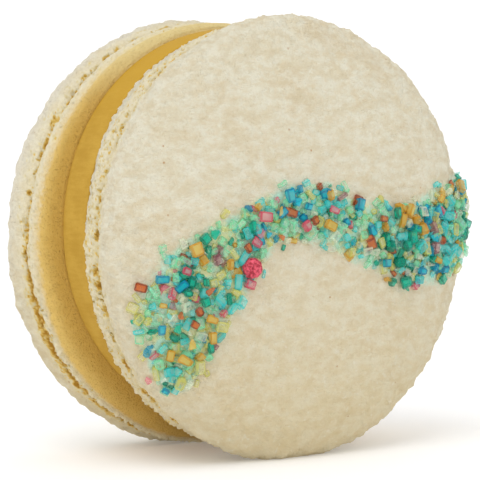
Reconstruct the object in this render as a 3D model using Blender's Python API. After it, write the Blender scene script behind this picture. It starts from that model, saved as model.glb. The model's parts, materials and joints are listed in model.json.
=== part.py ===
"""French macaron standing on its edge: two baked shells with a disc of filling between them.

Metres, +Z up. The macaron's axis lies along Y, the decorated front shell faces -Y, and both shells
rest on z = 0. The origin is the middle of the footprint.
"""

import math

import bmesh
import bpy

MM = 0.001

# sizes of the whole
SHELL_RADIUS = 22.5 * MM       # front shell, at its widest
BACK_EXTRA = 0.2 * MM          # how much wider the back shell is
FILLING_DEPTH = 3.9 * MM       # from shell to shell
GAP = 0.3 * MM                 # clearance between a shell and the filling
REST_WIDTH = 6.6 * MM          # chord of the flat spot that a shell rests on

# one shell, as heights above its seam with the filling and radii from its own axis
SEAM_INSET = 2.25 * MM         # the seam lies this far inside the widest radius
BASE_INSET = 0.9 * MM          # radius of the smooth browned base
BASE_HEIGHT = 2.35 * MM
LIP_INSET = 0.62 * MM          # the foot's frilled lip stands proud of the base
LIP_HEIGHT = 2.75 * MM
GROOVE_INSET = 0.9 * MM        # pitted groove between the foot and the cap
GROOVE_HEIGHT = 4.4 * MM
WIDEST_HEIGHT = 6.5 * MM
DOME_HEIGHT = 5.1 * MM
DOME_POWER = 3.0               # 2 is an ellipse, more gives a flatter top and a rounder shoulder
SEAM_RISE = 1.1 * MM           # the seam and the filling sit this far above the shell's axis

# unevenness of the baked edge, as ripples round the rim: count, depth, phase
RIPPLES = ((2, 0.05 * MM, 0.6), (5, 0.04 * MM, 2.1), (11, 0.04 * MM, 4.0))
LIP_RIPPLE = 2.0               # the lip's ripples are this much deeper

SEGMENTS = 72
BASE_STEPS = 4
CAP_STEPS = 3
DOME_STEPS = 8
FILLING_INSET = 0.1 * MM       # the filling ends just inside the shells' seams
FILLING_BULGE = 0.12 * MM

SHELL_COLOUR = (0.72, 0.63, 0.44, 1.0)
FILLING_COLOUR = (0.56, 0.36, 0.07, 1.0)


def clear_scene():
    for item in list(bpy.data.objects):
        bpy.data.objects.remove(item, do_unlink=True)


def make_material(name, colour, roughness):
    material = bpy.data.materials.new(name)
    material.use_nodes = True
    shader = material.node_tree.nodes["Principled BSDF"]
    shader.inputs["Base Color"].default_value = colour
    shader.inputs["Roughness"].default_value = roughness
    shader.inputs["Metallic"].default_value = 0.0
    return material


def ripple(angle, phase):
    return sum(depth * math.sin(count * angle + shift + phase) for count, depth, shift in RIPPLES)


def axis_height(radius, phase):
    """Height of a shell's axis when the flat spot cuts REST_WIDTH off the lowest part of its rim."""
    angles = [2 * math.pi * segment / SEGMENTS for segment in range(SEGMENTS)]
    lowest = max(-math.sin(angle) * (radius + ripple(angle, phase)) for angle in angles)
    return lowest - (radius - math.sqrt(radius ** 2 - (REST_WIDTH / 2) ** 2))


def shell_profile(radius):
    """Rings from the seam to the top of the dome: radius, height, depth of the ripples, rise of the centre."""
    seam = radius - SEAM_INSET
    base = radius - BASE_INSET
    rings = []
    for step in range(BASE_STEPS + 1):
        turn = math.pi / 2 * step / BASE_STEPS
        height = BASE_HEIGHT * (1 - math.cos(turn))
        rise = SEAM_RISE * (1 - math.sin(turn))
        rings.append((seam + (base - seam) * math.sin(turn), height, 0.5 * step / BASE_STEPS, rise))
    rings.append((radius - LIP_INSET, LIP_HEIGHT, LIP_RIPPLE, 0.0))
    rings.append((radius - LIP_INSET, (LIP_HEIGHT + GROOVE_HEIGHT) / 2, LIP_RIPPLE, 0.0))
    for step in range(CAP_STEPS + 1):
        turn = math.pi / 2 * step / CAP_STEPS
        height = GROOVE_HEIGHT + (WIDEST_HEIGHT - GROOVE_HEIGHT) * step / CAP_STEPS
        rings.append((radius - GROOVE_INSET * (1 - math.sin(turn)), height, 1.0, 0.0))
    for step in range(1, DOME_STEPS):
        turn = math.pi / 2 * step / DOME_STEPS
        shrink = math.cos(turn) ** (2 / DOME_POWER)
        rings.append((radius * shrink, WIDEST_HEIGHT + DOME_HEIGHT * math.sin(turn), shrink ** 6, 0.0))
    return rings


def ring_vertices(mesh, radius, along, centre_height, depth, phase):
    vertices = []
    for segment in range(SEGMENTS):
        angle = 2 * math.pi * segment / SEGMENTS
        reach = radius + depth * ripple(angle, phase)
        place = (reach * math.cos(angle), along, centre_height + reach * math.sin(angle))
        vertices.append(mesh.verts.new(place))
    return vertices


def bridge(mesh, lower, upper):
    for segment in range(SEGMENTS):
        following = (segment + 1) % SEGMENTS
        mesh.faces.new((lower[segment], lower[following], upper[following], upper[segment]))


def finish_object(mesh, name, material):
    bmesh.ops.recalc_face_normals(mesh, faces=mesh.faces)
    data = bpy.data.meshes.new(name)
    mesh.to_mesh(data)
    mesh.free()
    data.materials.append(material)
    data.shade_smooth()
    data.set_sharp_from_angle(angle=math.radians(40))
    piece = bpy.data.objects.new(name, data)
    bpy.context.scene.collection.objects.link(piece)
    return piece


def cut_resting_spot(mesh):
    """Cut the rim off at z = 0 and close the cut with one flat face."""
    everything = mesh.verts[:] + mesh.edges[:] + mesh.faces[:]
    cut = bmesh.ops.bisect_plane(mesh, geom=everything, plane_co=(0, 0, 0), plane_no=(0, 0, -1),
                                 clear_outer=True, dist=1e-7)
    edges = [item for item in cut["geom_cut"] if isinstance(item, bmesh.types.BMEdge)]
    bmesh.ops.holes_fill(mesh, edges=edges)


def make_shell(name, side, radius, phase, material):
    """A shell whose dome points along side, which is -1 for -Y and +1 for +Y."""
    mesh = bmesh.new()
    centre_height = axis_height(radius, phase)
    seam_at = FILLING_DEPTH / 2 + GAP / 2
    rings = []
    for ring_radius, height, depth, rise in shell_profile(radius):
        along = side * (seam_at + height)
        rings.append(ring_vertices(mesh, ring_radius, along, centre_height + rise, depth, phase))
    mesh.faces.new(rings[0])
    for lower, upper in zip(rings, rings[1:]):
        bridge(mesh, lower, upper)
    top_height = seam_at + WIDEST_HEIGHT + DOME_HEIGHT
    top = mesh.verts.new((0, side * top_height, centre_height))
    last = rings[-1]
    for segment in range(SEGMENTS):
        mesh.faces.new((last[segment], last[(segment + 1) % SEGMENTS], top))
    cut_resting_spot(mesh)
    return finish_object(mesh, name, material)


def make_filling(name, material):
    mesh = bmesh.new()
    radius = SHELL_RADIUS - SEAM_INSET - FILLING_INSET
    centre_height = axis_height(SHELL_RADIUS, 0.0) + SEAM_RISE
    half = FILLING_DEPTH / 2 - GAP / 2
    rings = []
    for step in (-1, -0.5, 0, 0.5, 1):
        bulge = FILLING_BULGE * (1 - step ** 2)
        rings.append(ring_vertices(mesh, radius + bulge, step * half, centre_height, 0.0, 0.0))
    mesh.faces.new(rings[0])
    for lower, upper in zip(rings, rings[1:]):
        bridge(mesh, lower, upper)
    mesh.faces.new(rings[-1])
    return finish_object(mesh, name, material)


def main():
    clear_scene()
    shell_material = make_material("almond_shell", SHELL_COLOUR, 0.7)
    filling_material = make_material("filling", FILLING_COLOUR, 0.5)
    make_shell("front_shell", -1, SHELL_RADIUS, 0.0, shell_material)
    make_shell("back_shell", 1, SHELL_RADIUS + BACK_EXTRA, 1.9, shell_material)
    make_filling("filling", filling_material)


main()
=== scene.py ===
import json
import math

import bmesh
import bpy
import numpy as np
from mathutils import Matrix, Vector, noise

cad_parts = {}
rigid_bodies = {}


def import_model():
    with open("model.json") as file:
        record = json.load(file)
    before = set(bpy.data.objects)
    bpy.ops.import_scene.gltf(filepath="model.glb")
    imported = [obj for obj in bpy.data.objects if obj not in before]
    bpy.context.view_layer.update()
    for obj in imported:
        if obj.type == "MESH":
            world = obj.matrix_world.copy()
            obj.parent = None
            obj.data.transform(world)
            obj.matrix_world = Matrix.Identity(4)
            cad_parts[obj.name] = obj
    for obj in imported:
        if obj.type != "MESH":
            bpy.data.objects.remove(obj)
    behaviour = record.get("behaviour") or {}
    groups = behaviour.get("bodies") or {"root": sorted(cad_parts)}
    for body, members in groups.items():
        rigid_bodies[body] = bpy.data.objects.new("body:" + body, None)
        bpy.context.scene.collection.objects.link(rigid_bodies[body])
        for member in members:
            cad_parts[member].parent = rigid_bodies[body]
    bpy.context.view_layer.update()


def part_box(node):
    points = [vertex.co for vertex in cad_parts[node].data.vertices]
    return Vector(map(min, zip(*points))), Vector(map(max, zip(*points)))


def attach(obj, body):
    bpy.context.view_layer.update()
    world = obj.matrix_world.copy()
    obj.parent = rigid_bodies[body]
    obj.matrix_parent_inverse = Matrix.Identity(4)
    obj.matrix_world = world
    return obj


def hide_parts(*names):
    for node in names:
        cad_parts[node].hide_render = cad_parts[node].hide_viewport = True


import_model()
mm = 0.001

# all sizes below are in millimetres, measured on the macaron: "along" runs from the seam with the filling
# towards the top of a shell, "inset" is how far inside the shell's widest rim a ring lies


def paint(colour):
    # screen colour to the linear values that shaders work in
    return tuple(((c / 255 + 0.055) / 1.055) ** 2.4 for c in colour)


class Wire:
    # one socket in an expression; every operator adds a Math node to its sheet
    def __init__(self, sheet, socket):
        self.sheet = sheet
        self.socket = socket

    def __add__(self, other):
        return self.sheet.maths("ADD", self, other)

    def __sub__(self, other):
        return self.sheet.maths("SUBTRACT", self, other)

    def __rsub__(self, other):
        return self.sheet.maths("SUBTRACT", other, self)

    def __mul__(self, other):
        return self.sheet.maths("MULTIPLY", self, other)

    def __truediv__(self, other):
        return self.sheet.maths("DIVIDE", self, other)

    def __rtruediv__(self, other):
        return self.sheet.maths("DIVIDE", other, self)

    def __pow__(self, other):
        return self.sheet.maths("POWER", self, other)

    def __abs__(self):
        return self.sheet.maths("ABSOLUTE", self)

    __radd__ = __add__
    __rmul__ = __mul__

    def other(self, name):
        return Wire(self.sheet, self.socket.node.outputs[name])


class Sheet:
    # a node tree drawn with expressions; it serves materials and Geometry Nodes alike
    def __init__(self, tree):
        self.tree = tree

    def put(self, kind, settings=None, inputs=None, output=0):
        node = self.tree.nodes.new(kind)
        for key, value in (settings or {}).items():
            setattr(node, key, value)
        for key, value in (inputs or {}).items():
            if isinstance(value, Wire):
                self.tree.links.new(value.socket, node.inputs[key])
            elif value is not None:
                node.inputs[key].default_value = value
        return Wire(self, node.outputs[output]) if node.outputs else node

    def maths(self, operation, *values):
        return self.put("ShaderNodeMath", {"operation": operation}, dict(enumerate(values)))

    def smooth(self, value, low, high):
        settings = {"interpolation_type": "SMOOTHSTEP"}
        return self.put("ShaderNodeMapRange", settings, {"Value": value, "From Min": low, "From Max": high})

    def tint(self, factor, first, second, mode="MIX"):
        colours = [c if isinstance(c, Wire) else (*c, 1) for c in (first, second)]
        settings = {"data_type": "RGBA", "blend_type": mode}
        return self.put("ShaderNodeMix", settings, {0: factor, 6: colours[0], 7: colours[1]}, output=2)

    def noise(self, place, scale, detail=2.0, roughness=0.5):
        values = {"Vector": place, "Scale": scale, "Detail": detail, "Roughness": roughness}
        return self.put("ShaderNodeTexNoise", None, values)

    def vectorMaths(self, operation, *values):
        return self.put("ShaderNodeVectorMath", {"operation": operation}, dict(enumerate(values)))

    def stretch(self, vector, factor):
        return self.put("ShaderNodeVectorMath", {"operation": "SCALE"}, {0: vector, "Scale": factor})


def newTree(name, inputs):
    # a Geometry Nodes group with geometry in and out and one named input for each size
    tree = bpy.data.node_groups.new(name, "GeometryNodeTree")
    tree.interface.new_socket("Geometry", in_out="INPUT", socket_type="NodeSocketGeometry")
    for label, kind in inputs.items():
        tree.interface.new_socket(label, in_out="INPUT", socket_type="NodeSocket" + kind)
    tree.interface.new_socket("Geometry", in_out="OUTPUT", socket_type="NodeSocketGeometry")
    sheet = Sheet(tree)
    entry = tree.nodes.new("NodeGroupInput")
    wires = {socket.name: Wire(sheet, socket) for socket in entry.outputs if socket.name}
    return tree, sheet, wires


def endTree(sheet, geometry, material):
    real = sheet.put("GeometryNodeRealizeInstances", None, {"Geometry": geometry})
    painted = sheet.put("GeometryNodeSetMaterial", None, {"Geometry": real, "Material": material})
    sheet.put("NodeGroupOutput", None, {"Geometry": painted})


def growPiece(name, tree, source, values):
    # runs the tree on the source object and keeps the outcome as a plain mesh at the origin
    modifier = source.modifiers.new("grow", "NODES")
    modifier.node_group = tree
    for item in tree.interface.items_tree:
        if item.in_out == "INPUT" and item.name in values:
            modifier[item.identifier] = values[item.name]
    evaluated = source.evaluated_get(bpy.context.evaluated_depsgraph_get())
    mesh = bpy.data.meshes.new_from_object(evaluated)
    source.modifiers.remove(modifier)
    mesh.name = name
    piece = bpy.data.objects.new(name, mesh)
    bpy.context.scene.collection.objects.link(piece)
    return piece


def addMesh(name, points, faces, attributes=None):
    mesh = bpy.data.meshes.new(name)
    mesh.from_pydata(points, [], faces)
    for label, values in (attributes or {}).items():
        layer = mesh.attributes.new(label, "FLOAT", "POINT")
        layer.data.foreach_set("value", np.asarray(values, np.float32))
    mesh.shade_smooth()
    piece = bpy.data.objects.new(name, mesh)
    bpy.context.scene.collection.objects.link(piece)
    return piece


def dropPiece(piece):
    mesh = piece.data
    bpy.data.objects.remove(piece)
    bpy.data.meshes.remove(mesh)


# turned shapes

def easeStep(value, low, high):
    share = np.clip((value - low) / (high - low), 0, 1)
    return share * share * (3 - 2 * share)


shellShape = {
    "pointsAround": 900,
    "seamInset": 2.2,
    "footInset": 0.62,
    "grooveInset": 0.95,      # pitted groove under the cap
    "grooveAlong": 4.4,
    "grooveWide": 0.42,
    "widestAlong": 6.5,
    "domePower": 3.0,
    "seamRise": 1.1,          # the seam sits above the shell's own centre
    "sideStep": 0.13,
    "domeStep": 0.3,
}

# where the two shells differ: height of base and lip, how far the base swells, relief
shellTraits = {
    "front_shell": {
        "baseAlong": 1.8, "baseInset": 1.1, "lipAlong": 2.4, "lipInset": 0.74, "baseSwell": -0.12,
        "brownedTo": -0.6, "Seed": 3.0, "Crumb": 1.0, "Ridge": 0.6,
        "Pit share": 0.75, "Crack share": 0.3, "Dot share": 0.7, "Low crack": 0.14,
    },
    "back_shell": {
        "baseAlong": 2.4, "baseInset": 0.78, "lipAlong": 2.95, "lipInset": 0.52, "baseSwell": 0.34,
        "brownedTo": 2.7, "Seed": 41.0, "Crumb": 0.35, "Ridge": 1.0,
        "Pit share": 0.8, "Crack share": 0.55, "Dot share": 0.2, "Low crack": 0.5,
    },
}


def shellLine(radius, height, traits):
    # the shell's section from the seam to the top of the dome: radius, along, share of the seam's rise
    s = shellShape
    line = []
    seam, base = radius - s["seamInset"], radius - traits["baseInset"]
    slope = math.hypot(base - seam, traits["baseAlong"])
    for share in np.linspace(0, 1, 22):
        swell = traits["baseSwell"] * math.sin(math.pi * share) / slope
        r = seam + (base - seam) * share + swell * traits["baseAlong"]
        along = traits["baseAlong"] * share - swell * (base - seam)
        line.append((r, along, 1 - share))
    for along in np.arange(traits["baseAlong"] + s["sideStep"], s["widestAlong"], s["sideStep"]):
        lip, foot = traits["lipInset"], s["footInset"]
        toLip = easeStep(along, traits["baseAlong"], traits["lipAlong"])
        inset = traits["baseInset"] + (lip - traits["baseInset"]) * toLip
        inset += (foot - lip) * easeStep(along, traits["lipAlong"], s["grooveAlong"])
        inset *= 1 - easeStep(along, s["grooveAlong"], s["widestAlong"])
        dip = math.exp(-((along - s["grooveAlong"]) / s["grooveWide"]) ** 2)
        inset += dip * (s["grooveInset"] - s["footInset"])
        line.append((radius - inset, along, 0.0))
    # rings on the dome lie a fixed step apart, measured along its curve
    turns = np.linspace(0, math.pi / 2, 3000)
    radii = radius * np.cos(turns).clip(0) ** (2 / s["domePower"])
    alongs = s["widestAlong"] + (height - s["widestAlong"]) * np.sin(turns)
    reach = np.concatenate([[0], np.cumsum(np.hypot(np.diff(radii), np.diff(alongs)))])
    stops = np.arange(0, reach[-1] - s["domeStep"] / 2, s["domeStep"])
    for r, along in zip(np.interp(stops, reach, radii), np.interp(stops, reach, alongs)):
        line.append((float(r), float(along), 0.0))
    return line


def turnedMesh(name, line, side, centreHeight, seamPlace, seamRise, counts, attributes):
    # turns a section round the Y axis; counts gives the points round each ring, which may halve
    # from one ring to the next
    points, faces, rings, alongs = [], [], [], []
    for (radius, along, share), count in zip(line, counts):
        first = len(points)
        for k in range(count):
            angle = 2 * math.pi * k / count
            height = centreHeight + seamRise * share + radius * math.sin(angle)
            points.append((radius * math.cos(angle) * mm, (seamPlace + side * along) * mm, height * mm))
            alongs.append(along)
        rings.append(range(first, first + count))
    for low, high in zip(rings, rings[1:]):
        ratio = len(low) // len(high)
        for k in range(len(high)):
            lowPart = [low[(k * ratio + j) % len(low)] for j in range(ratio + 1)]
            face = lowPart + [high[(k + 1) % len(high)], high[k]]
            faces.append(face if side < 0 else face[::-1])
    for ring, closing in ((rings[0], 0), (rings[-1], -1)):
        radius, along, share = line[closing]
        middle = len(points)
        points.append((0, (seamPlace + side * along) * mm, (centreHeight + seamRise * share) * mm))
        alongs.append(along)
        for k in range(len(ring)):
            face = [ring[k], ring[(k + 1) % len(ring)], middle]
            outward = (closing == -1) == (side < 0)
            faces.append(face if outward else face[::-1])
    attributes = dict(attributes, along=alongs)
    return addMesh(name, points, faces, attributes)


# middle line of the wave of sugar on the front dome: across, up, half width
sugarWave = (
    (-16.0, -11.6, 2.4), (-16.3, -7.8, 4.0), (-14.6, -4.4, 4.2), (-11.0, -1.3, 3.4), (-7.2, 1.7, 2.3),
    (-3.6, 2.9, 2.4), (0.4, 2.6, 2.7), (4.4, 0.9, 2.7), (8.4, 0.0, 3.1), (12.2, -0.8, 3.9), (16.2, 0.1, 4.3),
    (20.3, 1.2, 4.3), (23.0, 1.6, 3.9),
)


def waveDistance(across, up):
    # distance to the sugar's middle line as a share of its half width there; 1 is the edge of the wave
    best = np.full(len(across), 99.0)
    for (x0, z0, w0), (x1, z1, w1) in zip(sugarWave, sugarWave[1:]):
        dx, dz = x1 - x0, z1 - z0
        share = np.clip(((across - x0) * dx + (up - z0) * dz) / (dx * dx + dz * dz), 0, 1)
        reach = np.hypot(across - x0 - share * dx, up - z0 - share * dz) / (w0 + (w1 - w0) * share)
        best = np.minimum(best, reach)
    return best


def shellFacts(node):
    low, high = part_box(node)
    side = -1 if low.y < 0 else 1
    radius = (high.x - low.x) / 2 / mm
    seamPlace = (high.y if side < 0 else low.y) / mm
    height = (high.y - low.y) / mm
    return side, radius, high.z / mm - radius, seamPlace, height


def rawShell(node):
    side, radius, centreHeight, seamPlace, height = shellFacts(node)
    line = shellLine(radius, height, shellTraits[node])
    full = shellShape["pointsAround"]
    counts = []
    for r, along, share in line:
        onDome = along > shellShape["widestAlong"] + 0.6
        counts.append(full // 4 if onDome and r < 0.45 * radius else full // 2 if onDome else full)
    piece = turnedMesh("raw_" + node, line, side, centreHeight, seamPlace, shellShape["seamRise"], counts, {})
    mesh = piece.data
    places = np.empty(len(mesh.vertices) * 3)
    mesh.vertices.foreach_get("co", places)
    places = places.reshape(-1, 3) / mm
    alongs = np.empty(len(mesh.vertices))
    mesh.attributes["along"].data.foreach_get("value", alongs)
    wave = waveDistance(places[:, 0], places[:, 2] - centreHeight)
    # the sugar lies on the cap only, and runs over its edge on the far side
    lowest = np.where(places[:, 0] < 0, 7.6, 5.8)
    wave = wave + 1.8 * easeStep(alongs, lowest + 0.8, lowest - 1.2)
    wave = np.where((side < 0) & (alongs > lowest - 1.6), wave, 99.0)
    layer = mesh.attributes.new("wave", "FLOAT", "POINT")
    layer.data.foreach_set("value", wave.astype(np.float32))
    return piece


def reliefTree(material):
    # baked relief: uneven rim, leathery dome, crumbly foot, pits and cracks in the groove
    floats = ("Seed", "Base", "Groove", "Lip", "Browned to", "Crumb", "Ridge", "Pit share", "Crack share",
              "Dot share", "Low crack")
    tree, g, w = newTree("bakedRelief", {label: "Float" for label in floats})
    place = g.put("GeometryNodeInputPosition")
    normal = g.put("GeometryNodeInputNormal")
    along = g.put("GeometryNodeInputNamedAttribute", {"data_type": "FLOAT"}, {"Name": "along"})
    shift = g.put("ShaderNodeCombineXYZ", None, {0: w["Seed"], 1: w["Seed"], 2: 0.0})
    spot = g.vectorMaths("ADD", g.stretch(place, 1000.0), shift)
    up = g.put("ShaderNodeSeparateXYZ", None, {0: g.stretch(place, 1000.0)}).other("Z")
    drawn = g.vectorMaths("MULTIPLY", spot, (1.0, 1.5, 1.0))
    broad = g.noise(spot, 0.11, 1.0) - 0.5
    scallop = g.noise(spot, 0.5, 2.0) - 0.5
    leather = g.noise(spot, 1.1, 4.0, 0.6) - 0.5
    crumb = g.noise(spot, 2.4, 3.0, 0.65) - 0.5
    onBase = g.smooth(along, w["Base"] + 0.4, w["Base"] - 0.3)
    onFoot = g.smooth(along, w["Base"] - 0.1, w["Base"] + 0.4)
    onFoot = onFoot * g.smooth(along, w["Groove"] + 1.8, w["Groove"] + 0.3)
    # a crumbly shell is rough right down to the filling
    rough = g.maths("MAXIMUM", onFoot, onBase * g.smooth(w["Crumb"], 0.4, 1.0))
    calm = 1.0 - 0.85 * onBase * g.smooth(w["Crumb"], 1.3, 0.4)
    onRim = g.smooth(along, 4.6, 6.0) * g.smooth(along, 11.0, 8.5)
    lower = g.smooth(up, 28.0, 12.0)
    groove = w["Groove"] - lower * 0.2
    # large pits sit in cells along the groove, cracks follow a wavering line in it, small pits dot the foot
    waver = (g.noise(spot, 0.4, 2.5, 0.6) - 0.5) * 2.2
    fromGroove = abs(along - groove - waver * 0.5)
    large = g.put("ShaderNodeTexVoronoi", None, {"Vector": drawn, "Scale": 0.75})
    largeLot = g.put("FunctionNodeSeparateColor", None, {0: large.other("Color")})
    pit = g.smooth(large + crumb * 1.3 - lower * w["Crumb"] * 0.14, 0.46, 0.2)
    pit = pit * g.smooth(fromGroove, 0.8, 0.4)
    pit = pit * g.smooth(largeLot, 1.0 - w["Pit share"], 1.05 - w["Pit share"])
    crackHere = g.noise(g.vectorMaths("ADD", spot, (9.0, 4.0, 2.0)), 0.4, 2.0) + lower * w["Low crack"]
    uneven = g.smooth(g.noise(spot, 0.8, 2.0), 0.3, 0.7)
    crackWide = 0.14 + 0.36 * uneven * (0.5 + lower) + lower * w["Low crack"] * 0.8
    fromCrack = abs(along - groove - waver * (0.8 - lower * 0.5) - crumb * (1.5 + lower * 1.3))
    crack = g.smooth(fromCrack / crackWide, 1.0, 0.3)
    crack = crack * g.smooth(crackHere + crumb * 0.5, 0.97 - w["Crack share"], 1.09 - w["Crack share"])
    small = g.put("ShaderNodeTexVoronoi", None, {"Vector": drawn, "Scale": 1.9})
    smallLot = g.put("FunctionNodeSeparateColor", None, {0: small.other("Color")})
    dot = g.smooth(small + crumb * 0.8, 0.4, 0.12) * onFoot
    dot = dot * g.smooth(smallLot, 1.0 - w["Dot share"], 1.05 - w["Dot share"])
    hole = g.maths("MAXIMUM", g.maths("MAXIMUM", pit, crack), dot * 0.75)
    lipRidge = g.smooth(abs(along - w["Lip"] - waver * 0.25), 0.36, 0.06) * w["Ridge"] * lower
    push = broad * 0.6 - 0.08 * onRim + scallop * (0.5 + 0.1 * onRim) * calm
    push = push + leather * (0.38 + 0.62 * onRim) * calm + crumb * rough * 0.5 * w["Crumb"]
    push = push + leather * rough * w["Crumb"] * 0.5
    push = push + lipRidge * (0.18 + crumb * 1.2) - hole * (0.24 - lower * 0.06)
    # the groove is shallow where the crack runs round the underside
    push = push + g.smooth(abs(along - w["Groove"]), 1.0, 0.3) * lower * w["Low crack"] * 0.7
    moved = {"Geometry": w["Geometry"], "Offset": g.stretch(normal, push * mm)}
    shaped = g.put("GeometryNodeSetPosition", None, moved)
    # flat where the shell stands
    settled = g.put("ShaderNodeSeparateXYZ", None, {0: g.put("GeometryNodeInputPosition")})
    flat = {0: settled, 1: settled.other("Y"), 2: g.maths("MAXIMUM", settled.other("Z"), 0.0)}
    flat = g.put("ShaderNodeCombineXYZ", None, flat)
    shaped = g.put("GeometryNodeSetPosition", None, {"Geometry": shaped, "Position": flat})
    blur = 1.0 - lower * 0.5
    brownedEdge = along + (crumb * 1.8 + waver * 0.3) * blur
    browned = g.smooth(brownedEdge, w["Browned to"] + blur * 0.6, w["Browned to"] - blur * 1.2)
    # golden in the creases of the crumbly foot as well
    hollow = g.maths("MAXIMUM", hole, g.smooth(crumb, -0.04, -0.22) * onFoot * w["Crumb"] * 0.5)
    for label, value in {"hole": hollow, "browned": browned, "ridge": lipRidge}.items():
        settings = {"data_type": "FLOAT", "domain": "POINT"}
        values = {"Geometry": shaped, "Name": label, "Value": value}
        shaped = g.put("GeometryNodeStoreNamedAttribute", settings, values)
    endTree(g, shaped, material)
    return tree


# finishes

def newMaterial(name, constants):
    material = bpy.data.materials.new(name)
    material.use_nodes = True
    tree = material.node_tree
    shader = tree.nodes["Principled BSDF"]
    for label, value in constants.items():
        shader.inputs[label].default_value = value
    return material, Sheet(tree), shader


def connect(sheet, wire, shader, label):
    sheet.tree.links.new(wire.socket, shader.inputs[label])


def bump(sheet, height, strength, distance):
    values = {"Strength": strength, "Distance": distance * mm, "Height": height}
    return sheet.put("ShaderNodeBump", None, values)


def mark(sheet, name):
    return sheet.put("ShaderNodeAttribute", {"attribute_name": name}).other("Fac")


def objectPlace(sheet):
    # Object coordinates in millimetres
    return sheet.stretch(sheet.put("ShaderNodeTexCoord").other("Object"), 1000.0)


# finishes, as colours a user would pick on a screen: red, green, blue from 0 to 255
shellColours = {
    "cream": (241, 235, 213),
    "tan": (232, 220, 190),
    "mottle": (214, 196, 154),
    "peach": (228, 211, 177),
    "toastedAndShade": (222, 197, 138),
    "speck": (190, 140, 80),
    "paleFleckAndLight": (240, 232, 212),
    "pitHaloAndBounce": (236, 220, 166),
    "pit": (234, 198, 106),
    "pitDeep": (194, 144, 50),
    "goldenPale": (248, 230, 168),
    "goldenLight": (239, 202, 114),
    "goldenDeepAndShade": (206, 163, 76),
    "footPaleAndLight": (250, 238, 204),
    "stain": (196, 244, 220),
    "stainYellow": (236, 238, 182),
}


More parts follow.
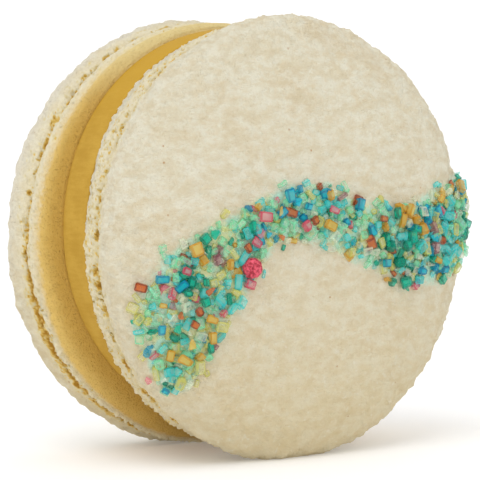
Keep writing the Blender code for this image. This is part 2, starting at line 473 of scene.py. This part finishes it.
def shellFinish():
    material, s, shader = newMaterial("almondShell", {"Specular IOR Level": 0.2})
    c = {name: paint(colour) for name, colour in shellColours.items()}
    place = objectPlace(s)
    up = s.put("ShaderNodeSeparateXYZ", None, {0: place}).other("Z")
    patches = s.noise(place, 0.16, 3.0, 0.6)
    brushed = s.noise(s.vectorMaths("MULTIPLY", place, (0.75, 1.0, 1.3)), 0.75, 5.0, 0.7)
    grain = s.noise(place, 3.5, 3.0, 0.7)
    colour = s.tint(s.smooth(brushed, 0.36, 0.62), c["cream"], c["tan"])
    colour = s.tint(s.smooth(brushed * 0.7 + patches * 0.3, 0.54, 0.68) * 0.45, colour, c["mottle"])
    colour = s.tint(s.smooth(patches * 0.7 + brushed * 0.3, 0.48, 0.66) * 0.5, colour, c["peach"])
    along = mark(s, "along")
    # paler cream on the foot: partly its own colour, partly painted light lifting the shade of its crumbly
    # relief
    foot = s.smooth(along, 1.6, 2.4) * s.smooth(along, 6.6, 4.6)
    colour = s.tint(foot * 0.7, colour, c["footPaleAndLight"])
    # painted reflection: warm bounce light tinted into the groove's crease, stronger lower down; the same
    # colour also rings the real pits
    grooveBounceLight = s.smooth(abs(along - 4.3), 1.0, 0.2) * (0.06 + 0.3 * s.smooth(up, 34.0, 18.0))
    colour = s.tint(grooveBounceLight, colour, c["pitHaloAndBounce"])
    # painted shade: darker and tanner towards the bottom, standing in for light falloff and warm bounce from
    # below, partly a real toasted tone
    colour = s.tint(s.smooth(up + (patches - 0.5) * 12.0, 30.0, -10.0) * 0.54, colour, c["toastedAndShade"])
    colour = s.tint(s.smooth(grain, 0.52, 0.72) * 0.28, colour, c["mottle"])
    paleSpots = s.noise(place, 1.7, 2.0, 0.5)
    colour = s.tint(s.smooth(paleSpots, 0.62, 0.72) * s.smooth(up, 26.0, 12.0) * 0.5, colour, c["paleFleckAndLight"])
    specks = s.put("ShaderNodeTexVoronoi", None, {"Vector": place, "Scale": 0.8})
    speckLot = s.put("ShaderNodeSeparateColor", None, {0: specks.other("Color")})
    colour = s.tint(s.smooth(specks, 0.12, 0.06) * s.smooth(speckLot, 0.84, 0.88) * 0.7, colour, c["speck"])
    # painted light: the upper back cap made paler to stand in for the light falling on it; the same pale
    # colour also makes the real flecks
    outer = s.smooth(s.put("ShaderNodeSeparateXYZ", None, {0: place}).other("Y"), 7.5, 9.0)
    colour = s.tint(outer * s.smooth(along, 3.6, 4.6) * s.smooth(up, 14.0, 30.0) * 0.85, colour, c["paleFleckAndLight"])
    # golden base deeper towards the seam: partly real browning, partly painted shade in the crease against
    # the filling
    golden = s.tint(s.smooth(along + (brushed - 0.5) * 1.2, 2.3, 0.2), c["goldenLight"], c["goldenDeepAndShade"])
    golden = s.tint(s.smooth(up + (patches - 0.5) * 6.0, 33.0, 45.0) * 0.75, golden, c["goldenPale"])
    # painted shade: the golden base darker near the bottom, where shade falls in the gap; the grain mottling
    # is its own colour
    grainAndLowShade = s.smooth(grain, 0.52, 0.75) * 0.4 + s.smooth(up, 9.0, 3.0) * 0.5
    golden = s.tint(grainAndLowShade, golden, c["goldenDeepAndShade"])
    pinholes = s.put("ShaderNodeTexVoronoi", None, {"Vector": place, "Scale": 4.2})
    pinholes = s.smooth(pinholes, 0.34, 0.08) * mark(s, "browned")
    colour = s.tint(mark(s, "browned"), colour, golden)
    colour = s.tint(pinholes * s.smooth(up, 40.0, 30.0) * 0.2, colour, c["pitDeep"])
    # painted light: the lip ridge made paler to stand in for light falling on it
    colour = s.tint(mark(s, "ridge") * 0.85, colour, c["footPaleAndLight"])
    colour = s.tint(s.smooth(mark(s, "hole"), 0.0, 0.08) * 0.7, colour, c["pitHaloAndBounce"])
    colour = s.tint(s.smooth(mark(s, "hole"), 0.1, 0.45), colour, c["pit"])
    colour = s.tint(s.smooth(mark(s, "hole"), 0.5, 1.0), colour, c["pitDeep"])
    stain = s.smooth(mark(s, "wave") + (brushed - 0.5) * 0.9, 1.25, 0.8)
    wash = s.tint(s.smooth(s.noise(place, 0.55, 2.0), 0.46, 0.6), c["stain"], c["stainYellow"])
    colour = s.tint(stain * 0.9, colour, wash)
    connect(s, colour, shader, "Base Color")
    connect(s, 0.62 + 0.2 * grain, shader, "Roughness")
    pores = s.noise(place, 6.0, 3.0, 0.75)
    height = pores * 0.7 + grain * 1.0 + brushed * 1.1 - pinholes * 0.45
    connect(s, bump(s, height, 1.0, 0.24), shader, "Normal")
    return material


fillingColours = {"light": (198, 158, 66), "deep": (184, 143, 53), "top": (196, 153, 48)}


def fillingFinish():
    material, s, shader = newMaterial("filling", {"Specular IOR Level": 0.12})
    light, deep = paint(fillingColours["light"]), paint(fillingColours["deep"])
    place = objectPlace(s)
    streaks = s.noise(s.vectorMaths("MULTIPLY", place, (1.0, 0.15, 1.0)), 3.0, 3.0, 0.6)
    grain = s.noise(place, 5.0, 3.0, 0.7)
    cloud = s.noise(place, 0.4, 2.0)
    colour = s.tint(s.smooth(cloud * 0.5 + streaks * 0.3 + grain * 0.2, 0.35, 0.65), light, deep)
    up = s.put("ShaderNodeSeparateXYZ", None, {0: place}).other("Z")
    colour = s.tint(s.smooth(up, 30.0, 42.0), colour, paint(fillingColours["top"]))
    connect(s, colour, shader, "Base Color")
    connect(s, 0.62 + 0.2 * grain, shader, "Roughness")
    connect(s, bump(s, grain * 0.7 + streaks * 0.4, 0.3, 0.05), shader, "Normal")
    return material


# share of each kind of crystal, the colour of its edges (its own hue deepened by painted shade) and of its
# middle, how clear it is
sugarKinds = {
    "mint": (0.235, (120, 226, 170), (220, 255, 226), 0.7),
    "aqua": (0.235, (24, 204, 202), (156, 248, 240), 0.62),
    "clear": (0.168, (220, 230, 196), (255, 255, 240), 0.76),
    "teal": (0.08, (0, 122, 98), (0, 204, 166), 0.42),
    "blue": (0.045, (0, 116, 156), (0, 212, 234), 0.48),
    "lemon": (0.125, (206, 202, 96), (248, 244, 180), 0.65),
    "amber": (0.055, (204, 142, 14), (250, 214, 108), 0.52),
    "rust": (0.025, (138, 44, 6), (228, 122, 58), 0.42),
    "rose": (0.02, (208, 36, 80), (250, 166, 176), 0.58),
    "mauve": (0.012, (126, 72, 78), (206, 158, 158), 0.55),
}


def sugarFinish(name, edgeColourAndShade, middle, clearness):
    # each crystal is pale and clear in the middle of its faces; the deep colour along its edges is its own
    # hue plus painted shade standing in for light bending through the glassy edges
    constants = {"Transmission Weight": 0.12, "IOR": 1.4, "Specular IOR Level": 0.4}
    material, s, shader = newMaterial("sugar_" + name, constants)
    place = objectPlace(s)
    veil = s.noise(place, 2.0, 2.0)
    # painted shade along each crystal's edges
    paintedRimShade = s.smooth(mark(s, "rim"), 0.1, 0.8) * 0.85
    deep = s.maths("MAXIMUM", paintedRimShade, s.smooth(mark(s, "shade"), 0.5, 1.0) * 0.6)
    connect(s, s.tint(deep + (veil - 0.5) * 0.5, paint(middle), paint(edgeColourAndShade)), shader, "Base Color")
    connect(s, 0.03 + 0.14 * veil, shader, "Roughness")
    connect(s, 1.0 - clearness * (1.0 - 0.45 * s.smooth(mark(s, "rim"), 0.1, 1.0)), shader, "Alpha")
    return material


def beadFinish():
    material, s, shader = newMaterial("sugarBead", {"Specular IOR Level": 0.5, "Transmission Weight": 0.1})
    place = objectPlace(s)
    speckle = s.noise(place, 3.4, 2.0, 0.6)
    colour = s.tint(s.smooth(speckle, 0.35, 0.62), (0.46, 0.012, 0.035), (1.0, 0.13, 0.2))
    connect(s, colour, shader, "Base Color")
    connect(s, 0.28 + 0.2 * speckle, shader, "Roughness")
    connect(s, bump(s, speckle, 0.9, 0.35), shader, "Normal")
    return material


# pieces

def makeShell(node, material):
    raw = rawShell(node)
    traits = shellTraits[node]
    values = dict(traits, Groove=shellShape["grooveAlong"], Base=traits["baseAlong"], Lip=traits["lipAlong"])
    values["Browned to"] = traits["brownedTo"]
    shell = growPiece(node + "_crust", reliefTree(material), raw, values)
    dropPiece(raw)
    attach(shell, "root")
    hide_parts(node)
    return shell


fillingShape = {
    "pointsAround": 720,
    "inset": 2.15,
    "reach": 0.35,            # runs this far into each shell's seam
    "bulge": 0.12,
}


def makeFilling(material):
    f = fillingShape
    side, radius, centreHeight, seamPlace, height = shellFacts("front_shell")
    low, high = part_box("filling")
    reachOut = (high.y - low.y) / 2 / mm + f["reach"]
    rim = radius - f["inset"]
    line = []
    for step in np.linspace(-1, 1, 33):
        line.append((rim + f["bulge"] * (1 - step * step), reachOut * step, 0.0))
    counts = [f["pointsAround"]] * len(line)
    middle = (low.z + high.z) / 2 / mm
    piece = turnedMesh("filling_disc", line, 1, middle, 0.0, 0.0, counts, {})
    piece.data.materials.append(material)
    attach(piece, "root")
    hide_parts("filling")
    return piece


def meshObject(name, mesh):
    data = bpy.data.meshes.new(name)
    mesh.to_mesh(data)
    mesh.free()
    return bpy.data.objects.new(name, data)


def markRim(mesh, faces, inset):
    # "rim" is 1 along a crystal's edges and fades to 0 on the inner part of its faces
    layer = mesh.verts.layers.float.new("rim")
    outer = set(mesh.verts)
    bmesh.ops.inset_individual(mesh, faces=faces, thickness=inset)
    for vertex in mesh.verts:
        vertex[layer] = 1.0 if vertex in outer else 0.0


def crystalBlock(name, size, chamfer, skew):
    mesh = bmesh.new()
    bmesh.ops.create_cube(mesh, size=1.0)
    for vertex in mesh.verts:
        x, y, z = vertex.co
        vertex.co = Vector((x * size[0] + skew * z, y * size[1] * (1 + skew * x), z * size[2]))
    bmesh.ops.bevel(mesh, geom=mesh.edges[:], offset=chamfer, segments=1, affect="EDGES")
    broad = [face for face in mesh.faces if face.calc_area() > 0.2]
    markRim(mesh, broad, 0.13)
    return meshObject(name, mesh)


def crystalShard(name, seed):
    # the hull round a few points scattered in a flattened ball
    draw = np.random.default_rng(seed)
    mesh = bmesh.new()
    for k in range(9):
        spot = Vector(draw.normal(size=3)).normalized() * draw.uniform(0.5, 0.62)
        mesh.verts.new((spot.x * 1.1, spot.y, spot.z * 0.8))
    hull = bmesh.ops.convex_hull(mesh, input=mesh.verts)
    inside = hull["geom_interior"] + hull["geom_unused"]
    loose = {item for item in inside if isinstance(item, bmesh.types.BMVert)}
    bmesh.ops.delete(mesh, geom=list(loose), context="VERTS")
    bmesh.ops.recalc_face_normals(mesh, faces=mesh.faces)
    markRim(mesh, mesh.faces[:], 0.08)
    return meshObject(name, mesh)


def crystalShapes():
    shapes = bpy.data.collections.new("crystalShapes")
    shapes.objects.link(crystalBlock("block", (1.0, 0.85, 0.7), 0.1, 0.08))
    shapes.objects.link(crystalBlock("wedge", (1.05, 0.75, 0.65), 0.11, 0.3))
    shapes.objects.link(crystalBlock("bar", (1.35, 0.68, 0.6), 0.09, 0.1))
    shapes.objects.link(crystalBlock("lump", (1.0, 0.9, 0.75), 0.2, 0.15))
    for seed in (5, 8):
        shapes.objects.link(crystalShard("shard" + str(seed), seed))
    return shapes


def randomValue(sheet, seed, low=0.0, high=1.0):
    values = {2: low, 3: high, "Seed": seed}
    return sheet.put("FunctionNodeRandomValue", {"data_type": "FLOAT"}, values, output=1)


def randomVector(sheet, seed, low, high):
    values = {0: low, 1: high, "Seed": seed}
    return sheet.put("FunctionNodeRandomValue", {"data_type": "FLOAT_VECTOR"}, values)


# layers of crystals: spacing, smallest, largest, lift off the shell, extra lift where they are heaped at the
# far rim, share of the wave's width they reach over, and how far across they start
sugarLayers = (
    {"Spacing": 0.54, "Small": 0.5, "Large": 1.05, "Lift": 0.1, "Heap": 0.1, "Reach": 1.04, "Starts": -30.0},
    {"Spacing": 0.9, "Small": 0.6, "Large": 1.25, "Lift": 0.4, "Heap": 0.15, "Reach": 0.86, "Starts": -30.0},
    {"Spacing": 0.8, "Small": 0.7, "Large": 1.3, "Lift": 0.6, "Heap": 0.2, "Reach": 0.85, "Starts": 8.0},
)


def sugarTree(material, shapes):
    # crystals scattered on the wave; "From" and "To" pick one kind out of the same scatter
    floats = ("Spacing", "Small", "Large", "Lift", "Heap", "Reach", "Starts", "From", "To")
    inputs = {label: "Float" for label in floats}
    inputs["Seed"] = "Int"
    tree, g, w = newTree("sugarScatter", inputs)
    wave = g.put("GeometryNodeInputNamedAttribute", {"data_type": "FLOAT"}, {"Name": "wave"})
    place = g.stretch(g.put("GeometryNodeInputPosition"), 1000.0)
    ragged = (g.noise(place, 0.6, 2.0) - 0.5) * 1.2
    across = g.put("ShaderNodeSeparateXYZ", None, {0: place})
    density = g.smooth(wave / w["Reach"] + ragged, 1.3, 0.75)
    density = density * g.smooth(across, w["Starts"], w["Starts"] + 3.0)
    values = {"Mesh": w["Geometry"], "Distance Min": w["Spacing"] * mm, "Density Max": 6e6,
              "Density Factor": density, "Seed": w["Seed"]}
    points = g.put("GeometryNodeDistributePointsOnFaces", {"distribute_method": "POISSON"}, values)
    rise = w["Lift"] + w["Heap"] * g.smooth(across, 17.5, 21.0)
    raised = {"Geometry": points, "Offset": g.stretch(points.other("Normal"), rise * mm)}
    raised = g.put("GeometryNodeSetPosition", None, raised)
    # most crystals draw their own kind, the rest share that of their patch
    patch = g.put("ShaderNodeTexVoronoi", None, {"Vector": place, "Scale": 0.35})
    patchLot = g.put("FunctionNodeSeparateColor", None, {0: patch.other("Color")})
    shared = g.maths("LESS_THAN", randomValue(g, w["Seed"] + 5), 0.3)
    lot = randomValue(g, w["Seed"] + 1)
    lot = lot + (patchLot - lot) * shared
    chosen = g.maths("GREATER_THAN", lot, w["From"]) * g.maths("LESS_THAN", lot, w["To"])
    turn = randomVector(g, w["Seed"] + 2, (-0.5, -0.5, 0.0), (0.5, 0.5, 6.283))
    turned = {0: points.other("Rotation"), 1: g.put("FunctionNodeEulerToRotation", None, {0: turn})}
    turned = g.put("FunctionNodeRotateRotation", {"rotation_space": "LOCAL"}, turned)
    grown = randomValue(g, w["Seed"] + 6) ** 1.3
    size = (w["Small"] + (w["Large"] - w["Small"]) * grown) * mm
    size = g.stretch(randomVector(g, w["Seed"] + 3, (0.75, 0.75, 0.75), (1.25, 1.25, 1.1)), size)
    pool = {"Collection": shapes, "Separate Children": True, "Reset Children": True}
    pool = g.put("GeometryNodeCollectionInfo", None, pool)
    placed = {"Points": raised, "Selection": chosen, "Instance": pool, "Pick Instance": True,
              "Rotation": turned, "Scale": size}
    placed = g.put("GeometryNodeInstanceOnPoints", None, placed)
    settings = {"data_type": "FLOAT", "domain": "INSTANCE"}
    shade = {"Geometry": placed, "Name": "shade", "Value": randomValue(g, w["Seed"] + 4)}
    placed = g.put("GeometryNodeStoreNamedAttribute", settings, shade)
    endTree(g, placed, material)
    return tree


# crystals that stand out on top of the wave: kind, across, up, length, width, turn in degrees
standouts = (
    ("rust", -20.0, -4.0, 1.2, 0.8, 75), ("amber", -15.0, -0.5, 1.3, 1.2, 20),
    ("teal", -14.0, 0.5, 1.0, 0.9, 40), ("teal", -13.0, 1.0, 1.0, 0.9, 50),
    ("rose", -7.5, 2.5, 1.5, 1.0, 85), ("rose", -8.0, 1.0, 1.1, 0.9, 60),
    ("rose", -8.5, 0.0, 1.1, 0.9, 55), ("blue", -4.5, 4.5, 1.4, 0.9, 10),
    ("blue", -3.5, 4.0, 1.0, 0.8, 50), ("teal", -9.0, 1.5, 1.1, 0.6, 0),
    ("amber", -5.5, 3.0, 1.2, 0.6, -10), ("rust", -5.5, 0.5, 0.9, 0.5, 50),
    ("rust", -9.5, -0.5, 0.9, 0.6, 30), ("rust", -14.6, -6.4, 0.9, 0.7, 30),
    ("rust", -15.0, -7.6, 0.8, 0.7, 60), ("amber", -13.2, -7.2, 1.2, 0.8, 70),
    ("teal", -15.8, -4.6, 0.9, 0.6, 80), ("amber", -11.5, -2.0, 1.1, 0.6, 0),
    ("rust", -13.5, -4.5, 1.3, 0.6, -65), ("rose", -16.0, -2.5, 1.0, 0.7, 70),
    ("teal", -14.0, -5.5, 0.9, 0.8, 20), ("blue", -18.0, -8.0, 0.9, 0.8, 0),
    ("teal", -16.5, -8.0, 1.0, 0.8, -30), ("lemon", -12.0, -8.0, 1.3, 1.0, 80),
    ("amber", -13.0, -9.0, 1.2, 0.7, 5), ("amber", -15.0, -9.5, 1.2, 0.7, 0),
    ("amber", -15.5, -11.0, 1.4, 0.9, 60), ("teal", -13.0, -10.0, 1.1, 0.7, 15),
    ("rose", -9.0, -4.0, 1.1, 0.9, 70), ("blue", -16.5, -14.0, 0.8, 0.6, 60),
    ("rose", -18.0, -13.0, 0.9, 0.5, 20), ("amber", 0.5, 4.5, 1.1, 0.7, 20),
    ("rose", 1.0, 3.0, 1.2, 0.7, 70), ("blue", 4.5, 3.5, 1.2, 0.9, -15),
    ("amber", 0.5, 1.5, 1.4, 0.9, 65), ("teal", 9.5, 2.5, 1.2, 0.7, 5),
    ("rust", 7.5, 2.0, 0.9, 0.7, 80), ("rust", -1.5, 2.0, 0.9, 0.8, 30),
    ("rose", -2.5, 1.5, 1.1, 0.9, 30), ("lemon", 5.0, 0.0, 1.4, 1.2, 45),
    ("teal", 11.5, 0.0, 1.5, 1.1, 10), ("teal", 12.5, -0.8, 1.4, 1.1, 50),
    ("teal", 12.2, 0.8, 1.2, 1.0, 80), ("teal", 10.8, -0.8, 1.2, 0.9, 20),
    ("blue", 15.0, 0.0, 1.3, 0.9, 80), ("amber", 17.0, 4.5, 1.3, 1.1, 10),
    ("blue", 15.5, 2.5, 1.2, 0.9, 30), ("blue", 13.0, -3.5, 1.3, 0.7, 80),
    ("teal", 17.0, -4.5, 1.1, 0.9, 45), ("amber", 15.5, -2.5, 1.1, 0.7, 70),
    ("blue", 8.0, -2.5, 0.8, 0.8, 0), ("teal", 13.0, 2.5, 0.9, 0.7, 30),
    ("rose", 12.5, -5.0, 0.8, 0.7, 50), ("mauve", 15.0, -1.2, 1.2, 0.8, 0),
    ("amber", 10.5, 3.0, 1.0, 0.6, 60),
)


def domeSpot(across, up):
    # the point of the front dome straight behind a place on its face, and the way out there
    side, radius, centreHeight, seamPlace, height = shellFacts("front_shell")
    power = shellShape["domePower"]
    share = min(math.hypot(across, up) / radius, 0.985)
    dome = height - shellShape["widestAlong"]
    along = shellShape["widestAlong"] + dome * math.sqrt(1 - share ** power)
    steep = dome * power * share ** (power - 1) / (2 * radius * math.sqrt(1 - share ** power))
    bearing = math.atan2(up, across)
    out = Vector((steep * math.cos(bearing), -1, steep * math.sin(bearing))).normalized()
    return Vector((across, seamPlace - along, centreHeight + up)) * mm, out


def addStandout(mesh, shape, across, up, length, width, turn, shade):
    place, out = domeSpot(across, up)
    frame3 = out.to_track_quat("Z", "X").to_matrix().to_4x4()
    # it lies on the heap, or on the bare shell outside the wave
    reach = waveDistance(np.array([across]), np.array([up]))[0]
    frame3.translation = place + out * (0.8 - 0.5 * easeStep(reach, 0.7, 1.1)) * mm
    spin = Matrix.Rotation(math.radians(turn), 4, "Z")
    size = Matrix.Diagonal((length * mm, width * mm / 0.85, 0.9 * mm, 1))
    first = len(mesh.verts)
    mesh.from_mesh(shape.data)
    mesh.verts.ensure_lookup_table()
    shadeLayer = mesh.verts.layers.float["shade"]
    for vertex in mesh.verts[first:]:
        vertex.co = frame3 @ spin @ size @ vertex.co
        vertex[shadeLayer] = shade


def makeSugar(shell):
    shapes = crystalShapes()
    start = 0.0
    for name, (share, deep, pale, clearness) in sugarKinds.items():
        material = sugarFinish(name, deep, pale, clearness)
        tree = sugarTree(material, shapes)
        parts = []
        for number, layer in enumerate(sugarLayers):
            values = dict(layer, From=start, To=start + share, Seed=11 + 17 * number)
            parts.append(growPiece("sugar_" + name, tree, shell, values))
        start += share
        mesh = bmesh.new()
        for part in parts:
            mesh.from_mesh(part.data)
        chosen = [item for item in standouts if item[0] == name]
        for number, item in enumerate(chosen):
            shape = shapes.objects[("block", "shard5", "wedge", "lump")[number % 4]]
            addStandout(mesh, shape, *item[1:], 0.3 * (number % 3))
        for face in mesh.faces:
            face.material_index = 0
        piece = parts[0]
        mesh.to_mesh(piece.data)
        mesh.free()
        piece.data.materials.clear()
        piece.data.materials.append(material)
        for part in parts[1:]:
            dropPiece(part)
        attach(piece, "root")
        print("sugar", name, len(piece.data.polygons), "faces")
    for template in list(shapes.objects):
        dropPiece(template)
    bpy.data.collections.remove(shapes)


bead = {"across": -9.0, "up": -2.4, "radius": 0.98, "lift": 0.7}


def makeBead(material):
    # one rough round bead of sugar
    mesh = bmesh.new()
    bmesh.ops.create_icosphere(mesh, subdivisions=5, radius=bead["radius"] * mm)
    place, out = domeSpot(bead["across"], bead["up"])
    for vertex in mesh.verts:
        direction = vertex.co.normalized()
        rough = noise.fractal(direction * 3.2, 0.8, 2.1, 3) * 0.1 + noise.noise(direction * 1.3) * 0.06
        vertex.co = vertex.co * (1 + rough) + place + out * bead["lift"] * mm
    piece = meshObject("sugar_bead", mesh)
    piece.data.shade_smooth()
    piece.data.materials.append(material)
    bpy.context.scene.collection.objects.link(piece)
    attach(piece, "root")


studio = {
    "turn": -36.5,            # degrees round the macaron
    "rise": 2.6,
    "distance": 220,
    "lens": 157.6,
    "aimBelow": 0.46,
    "floorWhite": 0.93,
    "floorGlow": 0.14,
    "keyPower": 1.36,
    "fillPower": 0.25,
    "skyPower": 0.8,
}


def makeStudio():
    floorMaterial, s, shader = newMaterial("floorPaper", {"Roughness": 0.9, "Specular IOR Level": 0.1})
    shader.inputs["Base Color"].default_value = (studio["floorWhite"],) * 3 + (1,)
    shader.inputs["Emission Color"].default_value = (1, 1, 1, 1)
    shader.inputs["Emission Strength"].default_value = studio["floorGlow"]
    # a floor that sweeps up into a backdrop
    floorEnd, bend, wallTop = 0.35, 0.15, 0.9
    section = [(-0.6, 0.0), (floorEnd, 0.0)]
    for t in np.linspace(0.1, math.pi / 2, 12):
        section.append((floorEnd + bend * math.sin(t), bend - bend * math.cos(t)))
    section.append((floorEnd + bend, wallTop))
    turn = math.radians(studio["turn"])
    ahead = Vector((-math.sin(turn), math.cos(turn), 0))
    sideways = Vector((math.cos(turn), math.sin(turn), 0))
    points = [tuple(ahead * y + sideways * x + Vector((0, 0, z))) for x in (-1.2, 1.2) for y, z in section]
    count = len(section)
    faces = [(k, count + k, count + k + 1, k + 1) for k in range(count - 1)]
    floor = addMesh("floor", points, faces)
    floor.data.materials.append(floorMaterial)
    low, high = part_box("front_shell")
    radius = (high.x - low.x) / 2
    target = Vector((0, 0, high.z - radius - studio["aimBelow"] * mm))
    rise = math.radians(studio["rise"])
    away = Vector((math.sin(turn) * math.cos(rise), -math.cos(turn) * math.cos(rise), math.sin(rise)))
    data = bpy.data.cameras.new("camera")
    data.lens = studio["lens"]
    data.sensor_width = 36
    data.clip_start = 0.01
    camera = bpy.data.objects.new("camera", data)
    camera.location = target + away * studio["distance"] * mm
    camera.rotation_euler = away.to_track_quat("Z", "Y").to_euler()
    bpy.context.scene.collection.objects.link(camera)
    bpy.context.scene.camera = camera
    addLight("key", target, turn, (-0.14, -0.35, 0.55), 0.45, studio["keyPower"])
    addLight("fill", target, turn, (0.5, -0.45, 0.25), 0.5, studio["fillPower"])
    world = bpy.data.worlds.new("softRoom")
    world.use_nodes = True
    world.node_tree.nodes["Background"].inputs["Color"].default_value = (1, 1, 1, 1)
    world.node_tree.nodes["Background"].inputs["Strength"].default_value = studio["skyPower"]
    bpy.context.scene.world = world
    bpy.context.scene.view_settings.view_transform = "Standard"


def addLight(name, target, turn, offset, size, power):
    # offset is sideways, towards the macaron's far side and up, as the camera stands
    ahead = Vector((-math.sin(turn), math.cos(turn), 0))
    sideways = Vector((math.cos(turn), math.sin(turn), 0))
    data = bpy.data.lights.new(name, "AREA")
    data.shape = "DISK"
    data.size = size
    data.energy = power
    light = bpy.data.objects.new(name, data)
    place = target + sideways * offset[0] + ahead * offset[1] + Vector((0, 0, offset[2]))
    light.location = place
    light.rotation_euler = (place - target).to_track_quat("Z", "Y").to_euler()
    bpy.context.scene.collection.objects.link(light)


shellMaterial = shellFinish()
frontShell = makeShell("front_shell", shellMaterial)
print("front shell", len(frontShell.data.polygons), "faces")
backShell = makeShell("back_shell", shellMaterial)
print("back shell", len(backShell.data.polygons), "faces")
makeFilling(fillingFinish())
print("filling done")
makeSugar(frontShell)
makeBead(beadFinish())
print("bead done")
makeStudio()
print("studio done")
